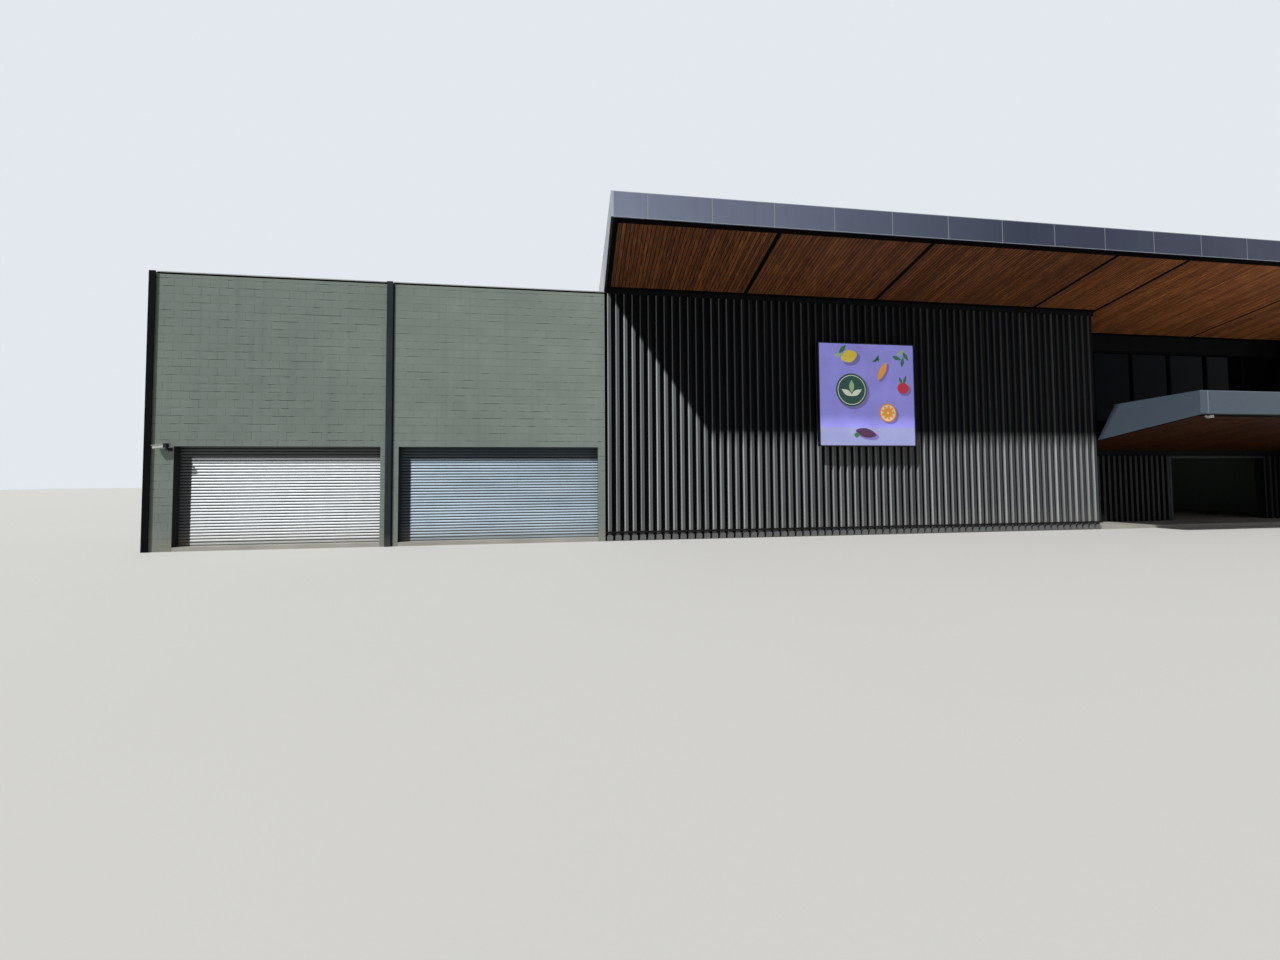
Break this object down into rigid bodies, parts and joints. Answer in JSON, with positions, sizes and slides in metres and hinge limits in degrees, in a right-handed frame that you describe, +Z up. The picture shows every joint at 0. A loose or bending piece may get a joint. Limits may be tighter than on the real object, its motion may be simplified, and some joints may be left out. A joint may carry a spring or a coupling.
{
  "type": "supermarket building",
  "caption": "Supermarket building with a painted block store and roller shutters, a dark fin-clad hall, a sloping board-lined canopy and a recessed entrance under a low canopy",
  "frame": {"origin": "centre of the bounding box on the ground", "axes": "+X right along the front, +Y into the building, +Z up"},
  "size_m": [38.26, 20.58, 8.12],
  "materials": {
    "painted_block": "matte",
    "concrete": "matte",
    "dark_steel": "satin",
    "galvanised_steel": "satin",
    "dark_cladding": "matte",
    "fin_metal": "satin",
    "grey_panel": "satin",
    "pale_panel": "satin",
    "blue_grey_panel": "satin",
    "stained_boards": "satin",
    "tinted_glass": "gloss",
    "sign_sheet": "matte",
    "roof_sheet": "satin",
    "lamp_white": "satin"
  },
  "bodies": {
    "root": {"floor_slab": "concrete", "steel_columns": "dark_steel", "shutter_piers": "painted_block", "store_front_wall": "painted_block", "store_side_wall": "painted_block", "store_back_wall": "painted_block", "store_roof": "roof_sheet", "wall_copings": "pale_panel", "coping_necks": "dark_cladding", "shutter_curtains": "galvanised_steel", "shutter_guides": "dark_steel", "shutter_bottom_bars": "galvanised_steel", "fin_backing_walls": "dark_cladding", "wall_fins": "fin_metal", "fin_shoes": "dark_steel", "fin_rails": "dark_steel", "sign_frame": "dark_steel", "sign_face": "sign_sheet", "sign_brackets": "dark_steel", "recess_side_walls": "dark_cladding", "entrance_walls": "dark_cladding", "entrance_fins": "fin_metal", "doorway_frame": "dark_steel", "entrance_beam": "dark_cladding", "upper_glass": "tinted_glass", "glazing_bars": "dark_steel", "glazing_head_band": "dark_cladding", "low_canopy_fascia": "blue_grey_panel", "low_canopy_cheeks": "blue_grey_panel", "low_canopy_soffit": "stained_boards", "low_canopy_top": "blue_grey_panel", "low_canopy_back": "blue_grey_panel", "corner_spotlight": "lamp_white", "canopy_fascia_panels": "grey_panel", "fascia_carrier": "dark_cladding", "canopy_cheeks": "pale_panel", "canopy_soffit": "stained_boards", "soffit_cross_strips": "dark_steel", "soffit_edge_strips": "dark_steel", "main_roof": "roof_sheet", "roof_edge_beam": "dark_cladding", "hall_upper_wall": "pale_panel", "hall_right_wall": "painted_block", "hall_back_wall": "painted_block", "wall_camera": "lamp_white"}
  },
  "joints": []
}
